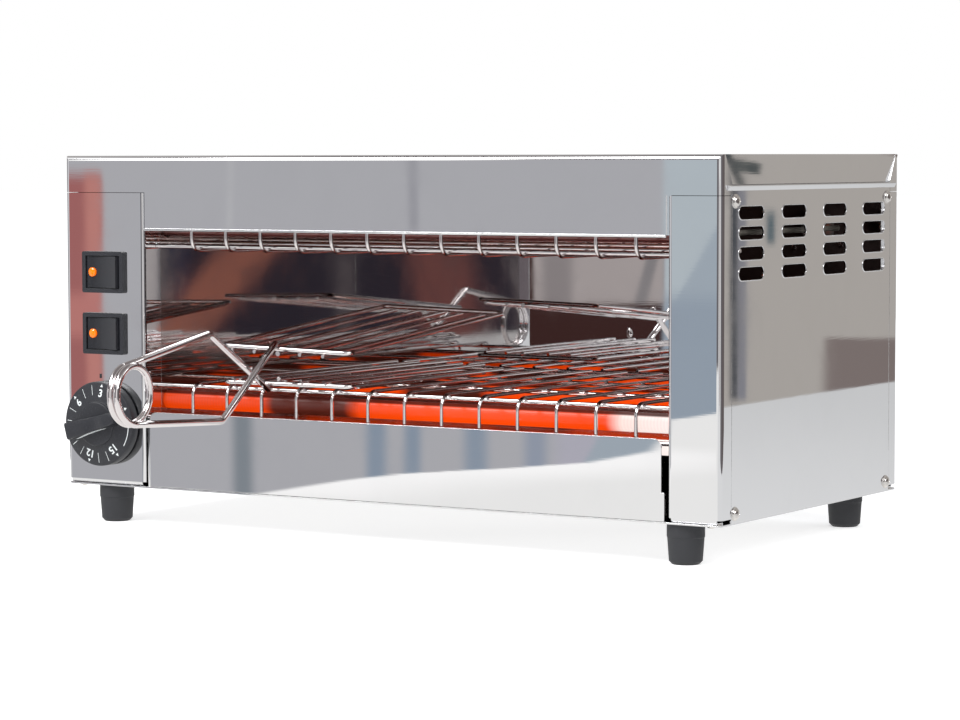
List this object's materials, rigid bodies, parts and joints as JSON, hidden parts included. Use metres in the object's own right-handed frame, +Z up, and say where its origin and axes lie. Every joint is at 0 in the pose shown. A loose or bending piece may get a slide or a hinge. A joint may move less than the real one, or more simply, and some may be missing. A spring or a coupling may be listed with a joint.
{
  "type": "cheese melter",
  "caption": "Counter-top cheese melter with an open front, quartz tube heaters above and below wire grids, a slide-out crumb tray, knob timer, rocker switches and sprung wire tongs.",
  "frame": {"origin": "centre of the whole product's bounding box in plan, with the tongs in place, at the height of the surface it stands on", "axes": "+X to the user's right along the front, +Y towards the back, +Z up"},
  "size_m": [0.4544, 0.384, 0.2225],
  "materials": {
    "polished_steel": "polished",
    "inner_steel": "satin",
    "zinc_screws": "polished",
    "foot_rubber": "matt",
    "black_plastic": "satin",
    "rocker_plastic": "gloss",
    "orange_lens": "clear gloss",
    "brass_tabs": "plain",
    "timer_case": "plain",
    "shaft_steel": "plain",
    "quartz": "clear, glowing orange",
    "heater_coil": "glowing",
    "ceramic": "unglazed ceramic",
    "lead_sleeve": "woven glass-fibre sleeve",
    "chrome_wire": "polished"
  },
  "bodies": {
    "melter": {"top_hood": "polished_steel", "control_panel": "polished_steel", "right_post": "polished_steel", "left_side_panel": "polished_steel", "right_side_panel": "polished_steel", "back_panel": "polished_steel", "base_pan": "polished_steel", "chamber_wall_left": "inner_steel", "chamber_wall_right": "inner_steel", "upper_reflector": "inner_steel", "lower_reflector": "inner_steel", "terminal_bracket": "inner_steel", "base_screws": "zinc_screws", "side_screws": "zinc_screws", "foot_screws": "zinc_screws", "timer_screws": "zinc_screws", "foot_front_left": "foot_rubber", "foot_front_right": "foot_rubber", "foot_rear_left": "foot_rubber", "foot_rear_right": "foot_rubber", "cable_gland": "black_plastic", "gland_nut": "black_plastic", "upper_switch_body": "black_plastic", "lower_switch_body": "black_plastic", "switch_tabs": "brass_tabs", "timer_body": "timer_case", "tube_lower_front": "quartz", "tube_lower_rear": "quartz", "tube_upper_front": "quartz", "tube_upper_rear": "quartz", "heating_coils": "heater_coil", "tube_holders": "ceramic", "terminal_block": "ceramic", "heater_leads": "lead_sleeve", "upper_grid": "chrome_wire", "lower_grid": "chrome_wire", "upper_guard": "chrome_wire", "lower_guard": "chrome_wire"},
    "tray": {"tray_front": "polished_steel", "tray_pan": "inner_steel"},
    "timer": {"timer_shaft": "shaft_steel", "timer_knob": "black_plastic"},
    "upper_switch": {"upper_rocker": "rocker_plastic", "upper_lens": "orange_lens"},
    "lower_switch": {"lower_rocker": "rocker_plastic", "lower_lens": "orange_lens"},
    "tongs_base": {"tongs_lower_paddle": "chrome_wire", "tongs_upper_arm": "chrome_wire", "tongs_spring": "chrome_wire", "tongs_catch": "chrome_wire"},
    "tongs_top": {"tongs_upper_paddle": "chrome_wire", "tongs_lower_arm": "chrome_wire"}
  },
  "joints": [
    {"name": "tray_slide", "type": "slide", "parent": "melter", "child": "tray", "axis": [0, -1, 0], "range_m": [0, 0.19]},
    {"name": "timer_turn", "type": "hinge", "parent": "melter", "child": "timer", "pos_m": [-0.195, -0.051, 0.0607], "axis": [0, 1, 0], "range_deg": [-65, 270]},
    {"name": "upper_switch_rock", "type": "hinge", "parent": "melter", "child": "upper_switch", "pos_m": [-0.195, -0.0395, 0.1523], "axis": [0, 0, 1], "range_deg": [0, 12]},
    {"name": "lower_switch_rock", "type": "hinge", "parent": "melter", "child": "lower_switch", "pos_m": [-0.195, -0.0395, 0.1151], "axis": [0, 0, 1], "range_deg": [0, 12]},
    {"name": "tongs_slide", "type": "slide", "parent": "melter", "child": "tongs_base", "axis": [0, -1, 0], "range_m": [0, 0.2]},
    {"name": "tongs_squeeze", "type": "hinge", "parent": "tongs_base", "child": "tongs_top", "pos_m": [-0.06925, -0.174, 0.0913], "axis": [1, 0, 0], "range_deg": [0, 6], "stiffness_Nm_per_rad": 2, "deforming": ["tongs_spring"]}
  ]
}
